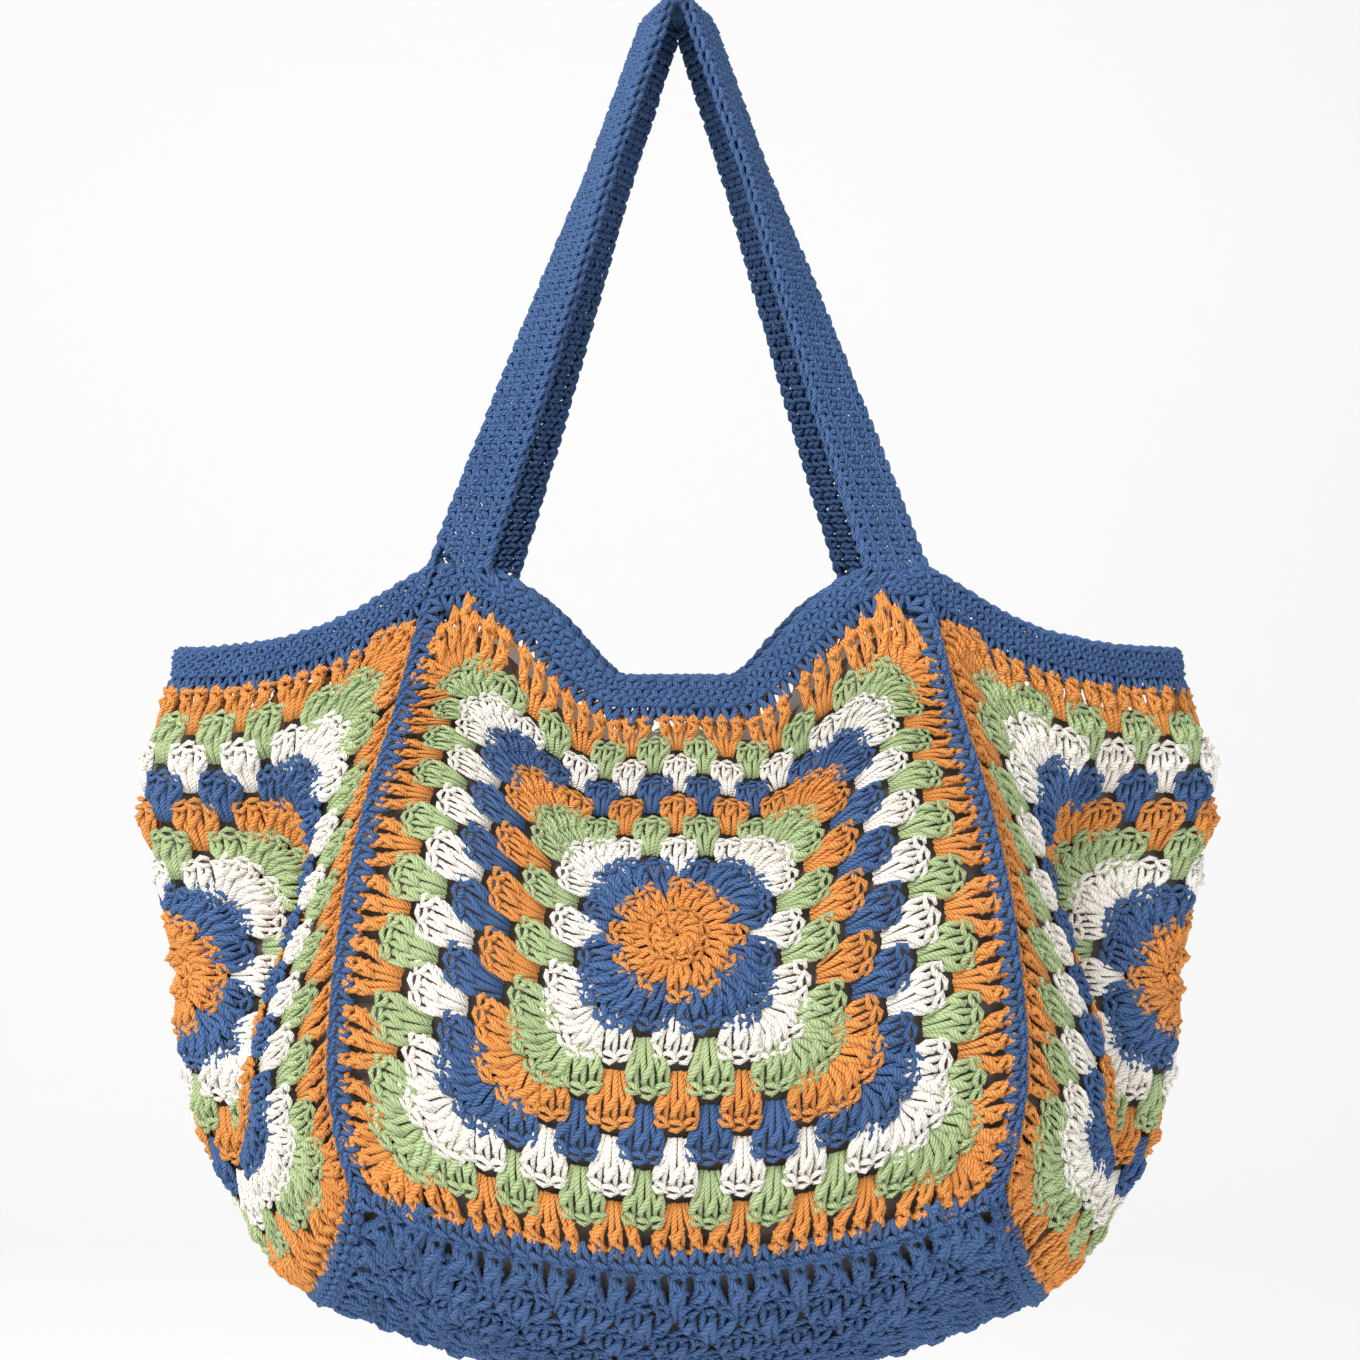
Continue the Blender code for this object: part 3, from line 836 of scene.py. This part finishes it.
for name, mirror_x, mirror_y in (
    ("seam_front_right", 1.0, 1.0),
    ("seam_front_left", -1.0, 1.0),
    ("seam_back_right", 1.0, -1.0),
    ("seam_back_left", -1.0, -1.0),
):
    knitting = Knitting()
    knit_row(
        knitting, corner_strip(mirror_x, mirror_y), 2.0 * SEAM_REACH, seam_stitches,
        SEAM_PITCH, 0.3, 1.4, BLUE,
    )
    piece = knitting.finish(name + "_stitches", cottons)
    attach(piece, "root")
    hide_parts(name)


def once_round(height, count=60):
    """A level line once round the walls, anticlockwise from the front left corner."""
    across = np.linspace(-1.0, 1.0, count + 1)[:-1]
    lines = [wall(side, across, np.full(count, height)) for side in ("front", "right", "back", "left")]
    return np.concatenate(lines)


def closed(line):
    return np.concatenate((line, line[:1]))


foot = once_round(0.0)
above = beside(foot, once_round(0.04), SEAM_REACH * MM)
middle = foot * np.array((0.9, 0.9, 1.0)) - np.array((0.0, 0.0, 0.004))
below = beside(foot, middle, SEAM_REACH * MM)
out = foot - 0.5 * (above + below)
foot = foot + out / np.linalg.norm(out, axis=-1, keepdims=True) * 0.001
knitting = Knitting()
knit_row(
    knitting, strip_cloth([closed(line) for line in (below, foot, above)]), 2.0 * SEAM_REACH,
    seam_stitches, SEAM_PITCH, 0.3, 1.4, BLUE,
)
piece = knitting.finish("base_seam_stitches", cottons)
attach(piece, "root")
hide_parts("base_seam")


# The rim: four rounds of blue single crochet worked upwards from the walls' last rounds.
# A chain finishes its top edge. It is knitted cloth, so both of its faces show stitches.
RIM_ROWS = 4
RIM_PITCH = 6.6
RIM_LIFT = 0.9

single_crochets = [
    short_yarns((
        ((-2.9, 3.6, 0.4), (-2.2, 2.2, 1.5), (-1.1, 0.8, 1.5), (-0.3, -0.9, 0.5)),
        ((2.9, 3.6, 0.4), (2.2, 2.2, 1.5), (1.1, 0.8, 1.5), (0.4, -0.8, 0.5)),
        ((-3.4, 2.7, 0.5), (-1.2, 3.2, 1.4), (1.2, 3.7, 1.4), (3.4, 3.3, 0.5)),
    ))
    for _ in range(3)
]
inner_crochets = [
    short_yarns((
        ((-3.0, 3.5, 0.4), (-2.0, 2.0, 1.4), (-1.0, 0.6, 1.5), (-0.2, -0.8, 0.5)),
        ((3.4, 3.3, 0.5), (1.9, 2.5, 1.5), (1.2, 0.9, 1.4), (0.4, -0.7, 0.5)),
    ))
    for _ in range(3)
]
edge_chains = [
    short_yarns((
        ((-4.0, 1.2, -0.2), (-1.3, 1.6, 1.1), (1.5, 0.9, 1.5), (3.9, 0.1, 0.6)),
        ((-4.0, 0.8, -0.1), (-1.5, -0.1, 1.4), (1.2, 0.2, 1.5), (3.8, 1.1, 0.3)),
    ))
    for _ in range(3)
]
rim_teeth = [
    short_yarns((
        ((-2.6, 3.0, 0.6), (-1.8, 0.8, 1.7), (-1.0, -2.0, 2.3), (-0.3, -5.0, 1.4)),
        ((2.6, 3.0, 0.6), (1.8, 0.8, 1.7), (1.0, -2.0, 2.3), (0.4, -4.8, 1.4)),
        ((-3.4, 2.7, 0.5), (-1.2, 3.2, 1.4), (1.2, 3.7, 1.4), (3.4, 3.3, 0.5)),
    ))
    for _ in range(3)
]


def smoothed(line, passes):
    for _ in range(passes):
        line = 0.5 * line + 0.25 * (np.roll(line, 1, axis=0) + np.roll(line, -1, axis=0))
    return line


edge = once_round(1.0)
ahead = np.roll(edge, -1, axis=0) - np.roll(edge, 1, axis=0)
ahead = ahead / np.linalg.norm(ahead, axis=1, keepdims=True)
rise = edge - once_round(0.93)
rise = rise / np.linalg.norm(rise, axis=1, keepdims=True) + np.array((0.0, 0.0, 1.0))
rise = rise - ahead * np.sum(rise * ahead, axis=1, keepdims=True)
rise = smoothed(rise / np.linalg.norm(rise, axis=1, keepdims=True), 6)
edge = smoothed(edge, 3)
rim_foot = closed(edge)
rim_top = closed(edge + rise * RIM_HEIGHT)
rim_middle = 0.5 * (rim_foot + rim_top)
outside = strip_cloth([rim_foot, rim_middle, rim_top])
inside = strip_cloth([line[::-1] for line in (rim_foot, rim_middle, rim_top)])
knitting = Knitting()
width = RIM_HEIGHT / MM
for strip in (outside, inside):
    for row in range(RIM_ROWS):
        ready = single_crochets if strip is outside else inner_crochets
        if row == 0 and strip is outside:
            ready = rim_teeth
        knit_row(
            knitting, strip, width, ready, RIM_PITCH, row * width / RIM_ROWS - width / 2.0,
            RIM_LIFT, BLUE, shift=0.35 * row,
        )
    knit_row(knitting, strip, width, edge_chains, RIM_PITCH, width / 2.0, 0.1, BLUE)
piece = knitting.finish("rim_stitches", cottons)
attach(piece, "root")
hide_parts("rim")


# The handles: two flat straps of six rows of blue single crochet, worked lengthwise.
# Their feet grow out of the rim's corner peaks, and both straps hang over one hook.
STRAP_WIDTH = 0.022
STRAP_THICKNESS = 0.0036
STRAP_SPACING = 0.003
ROOT_TURN = math.radians(15.0)
LEG_TURN = math.radians(67.0)
TURNED_AT = 0.72
FRONT_BEND_RADIUS = 0.0087
BACK_BEND_RADIUS = 0.0048
STRAP_STEPS = 48
BEND_STEPS = 16
STRAP_ROWS = 6
STRAP_PITCH = 6.3
STRAP_LIFT = 0.7
OUTER_FOOT = -2           # stops of the rim's line at the foot, counted from the corner
INNER_FOOT = 7
FOOT_OVERLAP = 0.007


def strap_lines(side, bend_radius):
    """The two edges of a strap from its left foot to its right, and its middle."""
    half = STRAP_WIDTH / 2.0
    seam = Vector(corner(np.ones(1))[0])
    peak = float(rim_top[:, 2].max())
    root = Vector((half * math.cos(ROOT_TURN) - seam.x, side * -seam.y, peak))
    bend = bend_radius + STRAP_THICKNESS / 2.0
    centre = Vector((0.0, side * (STRAP_SPACING / 2.0 + half), -bend_radius))
    leg = root - centre
    turn = math.atan2(-leg.x, -leg.z) - math.asin(bend / math.hypot(leg.x, leg.z))
    touch = centre + Vector((-math.cos(turn), 0.0, math.sin(turn))) * bend
    stations = []
    for step in range(STRAP_STEPS):
        share = step / STRAP_STEPS
        twist = ROOT_TURN + (LEG_TURN - ROOT_TURN) * min(share / TURNED_AT, 1.0)
        across = Vector((math.cos(twist), math.sin(twist) * side, 0.0))
        stations.append((root.lerp(touch, share), across * half))
    for step in range(BEND_STEPS + 1):
        share = step / BEND_STEPS
        angle = math.pi - turn + (turn - math.pi / 2.0) * share
        middle = centre + Vector((math.cos(angle), 0.0, math.sin(angle))) * bend
        twist = LEG_TURN + (math.pi / 2.0 - LEG_TURN) * float(ease(share))
        across = Vector((math.cos(twist), math.sin(twist) * side, 0.0))
        stations.append((middle, across * half))
    flip = Vector((-1.0, 1.0, 1.0))
    for middle, across in reversed(stations[:-1]):
        stations.append((middle * flip, across * flip))
    middles = np.array([middle for middle, across in stations])
    reaches = np.array([across for middle, across in stations])
    # Each foot widens into the rim's top edge on both sides of the corner's peak.
    lines = []
    for line, stop in ((middles - reaches, OUTER_FOOT), (middles, 3), (middles + reaches, INNER_FOOT)):
        spot = rim_top[stop] * np.array((1.0, -side, 1.0)) - np.array((0.0, 0.0, FOOT_OVERLAP))
        left = spot[None]
        right = left * np.array((-1.0, 1.0, 1.0))
        lines.append(np.concatenate((left, line, right)))
    return lines


for name, side, bend_radius in (
    ("handle_front", -1.0, FRONT_BEND_RADIUS),
    ("handle_back", 1.0, BACK_BEND_RADIUS),
):
    low, middle, high = strap_lines(side, bend_radius)
    # Rows run from the ridge edge on the front strap, and towards it on the back one.
    lines = [high, middle, low] if side < 0.0 else [low, middle, high]
    outside = strip_cloth(lines)
    inside = strip_cloth([line[::-1] for line in lines])
    knitting = Knitting()
    width = STRAP_WIDTH / MM
    row_height = width / STRAP_ROWS
    for strip, ready in ((outside, single_crochets), (inside, inner_crochets)):
        for row in range(STRAP_ROWS):
            turned = row % 2 == 1
            y = row * row_height - width / 2.0 + (row_height if turned else 0.0)
            knit_row(
                knitting, strip, width, ready, STRAP_PITCH, y, STRAP_LIFT, BLUE,
                turned=turned, shift=0.5 * row,
            )
        for hand in (-1.0, 1.0):
            knit_row(
                knitting, strip, width, edge_chains, STRAP_PITCH, hand * (width / 2.0 + 0.2),
                0.3, BLUE, turned=hand < 0.0,
            )
    piece = knitting.finish(name + "_stitches", cottons)
    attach(piece, "root")
    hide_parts(name)


# The room: a pale plaster floor that turns up into a wall far behind the hanging bag.
# The light is even daylight, with a large window to the upper left and a weak fill.
FLOOR_Z = -0.95
WALL_Y = 3.2
COVE_RADIUS = 1.4
FLOOR_HALF = 5.0
WALL_TOP = 4.0

builder = bmesh.new()
spots = [(-FLOOR_HALF, FLOOR_Z)]
for step in range(17):
    angle = math.pi / 2.0 * step / 16.0
    spots.append((
        WALL_Y - COVE_RADIUS + COVE_RADIUS * math.sin(angle),
        FLOOR_Z + COVE_RADIUS - COVE_RADIUS * math.cos(angle),
    ))
spots.append((WALL_Y, WALL_TOP))
line = [builder.verts.new((-FLOOR_HALF, y, z)) for y, z in spots]
edges = [builder.edges.new(pair) for pair in zip(line, line[1:])]
swept = bmesh.ops.extrude_edge_only(builder, edges=edges)["geom"]
moved = [item for item in swept if isinstance(item, bmesh.types.BMVert)]
bmesh.ops.translate(builder, verts=moved, vec=(2.0 * FLOOR_HALF, 0.0, 0.0))
bmesh.ops.recalc_face_normals(builder, faces=builder.faces)
mesh = bpy.data.meshes.new("cove")
builder.to_mesh(mesh)
builder.free()
mesh.shade_smooth()
cove = bpy.data.objects.new("cove", mesh)
bpy.context.scene.collection.objects.link(cove)
plaster, nodes, links, shader = new_material("pale_plaster", 0.9, 0.0)
shader.inputs["Base Color"].default_value = (0.97, 0.97, 0.965, 1.0)
cove.data.materials.append(plaster)

world = bpy.data.worlds.new("pale_room")
world.use_nodes = True
world.node_tree.nodes["Background"].inputs["Color"].default_value = (0.97, 0.985, 1.0, 1.0)
world.node_tree.nodes["Background"].inputs["Strength"].default_value = 0.72
bpy.context.scene.world = world
bpy.context.scene.view_settings.view_transform = "Standard"


def soft_light(name, place, target, size, power):
    lamp = bpy.data.lights.new(name, "AREA")
    lamp.size = size
    lamp.energy = power
    lamp.color = (1.0, 0.98, 0.95)
    holder = bpy.data.objects.new(name, lamp)
    holder.location = place
    holder.rotation_euler = (Vector(target) - Vector(place)).to_track_quat("-Z", "Y").to_euler()
    bpy.context.scene.collection.objects.link(holder)


soft_light("window", (-1.2, -1.6, 1.2), (0.0, 0.0, -0.35), 1.1, 62.0)
soft_light("fill", (1.8, -1.6, -0.1), (0.0, 0.0, -0.4), 1.6, 10.0)

# The camera looks level at the bag's middle from little more than a metre away.
# Its view is the photograph's square frame.
FRAME_PIXELS = 1360.0
FOCAL_PIXELS = 2500.0
SENSOR = 36.0
camera_data = bpy.data.cameras.new("camera")
camera_data.sensor_width = SENSOR
camera_data.lens = SENSOR * FOCAL_PIXELS / FRAME_PIXELS
camera = bpy.data.objects.new("camera", camera_data)
camera.location = (0.001, -1.1, -0.292)
camera.rotation_euler = (math.pi / 2.0, 0.0, 0.0)
bpy.context.scene.collection.objects.link(camera)
bpy.context.scene.camera = camera
